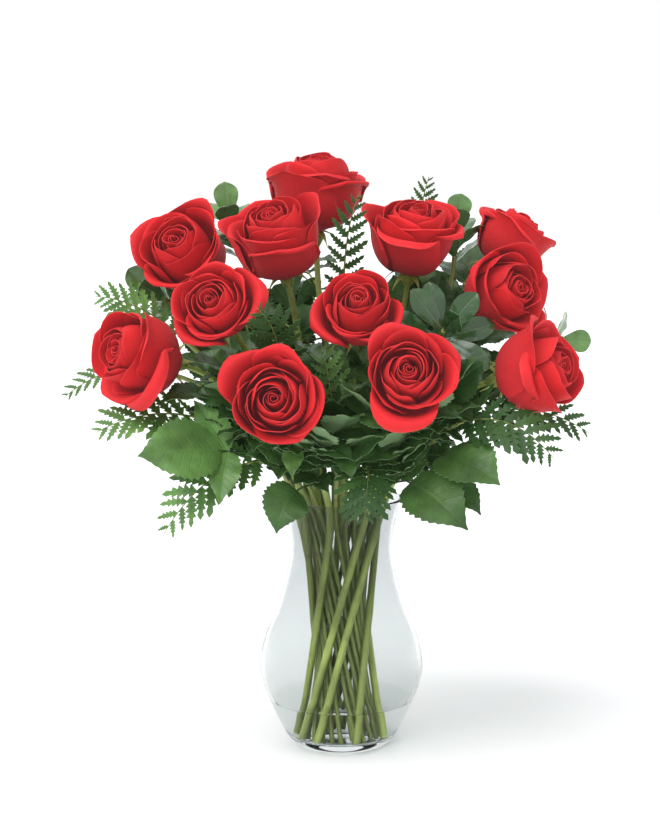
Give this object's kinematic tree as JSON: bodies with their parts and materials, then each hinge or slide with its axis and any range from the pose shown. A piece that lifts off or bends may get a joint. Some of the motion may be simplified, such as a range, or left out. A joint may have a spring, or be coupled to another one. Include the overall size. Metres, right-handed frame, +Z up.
{
  "type": "roses in a vase",
  "caption": "Arrangement of red roses with rose leaves, fern fronds and glossy leafy stems standing in water in a clear glass vase with a narrow neck.",
  "frame": {"origin": "centre of the vase's flat bottom, on the surface it stands on", "axes": "+Z up along the vase's axis, -Y towards the front of the arrangement, +X to the viewer's right"},
  "size_m": [0.4156, 0.3278, 0.4636],
  "materials": {
    "clear_glass": "gloss",
    "water": "gloss",
    "red_petal": "matte",
    "rose_green": "satin",
    "fern_green": "satin",
    "glossy_green": "gloss"
  },
  "bodies": {
    "root": {"vase": "clear_glass", "water": "water", "rose_bloom_01": "red_petal", "rose_stem_01": "rose_green", "rose_bloom_02": "red_petal", "rose_stem_02": "rose_green", "rose_bloom_03": "red_petal", "rose_stem_03": "rose_green", "rose_bloom_04": "red_petal", "rose_stem_04": "rose_green", "rose_bloom_05": "red_petal", "rose_stem_05": "rose_green", "rose_bloom_06": "red_petal", "rose_stem_06": "rose_green", "rose_bloom_07": "red_petal", "rose_stem_07": "rose_green", "rose_bloom_08": "red_petal", "rose_stem_08": "rose_green", "rose_bloom_09": "red_petal", "rose_stem_09": "rose_green", "rose_bloom_10": "red_petal", "rose_stem_10": "rose_green", "rose_bloom_11": "red_petal", "rose_stem_11": "rose_green", "rose_bloom_12": "red_petal", "rose_stem_12": "rose_green", "fern_frond_01": "fern_green", "fern_frond_02": "fern_green", "fern_frond_03": "fern_green", "fern_frond_04": "fern_green", "fern_frond_05": "fern_green", "fern_frond_06": "fern_green", "fern_frond_07": "fern_green", "fern_frond_08": "fern_green", "fern_frond_09": "fern_green", "fern_frond_10": "fern_green", "fern_frond_11": "fern_green", "fern_frond_12": "fern_green", "fern_frond_13": "fern_green", "fern_frond_14": "fern_green", "leafy_stem_01": "glossy_green", "leafy_stem_02": "glossy_green", "leafy_stem_03": "glossy_green", "leafy_stem_04": "glossy_green", "leafy_stem_05": "glossy_green", "leafy_stem_06": "glossy_green", "leafy_stem_07": "glossy_green"}
  },
  "joints": []
}
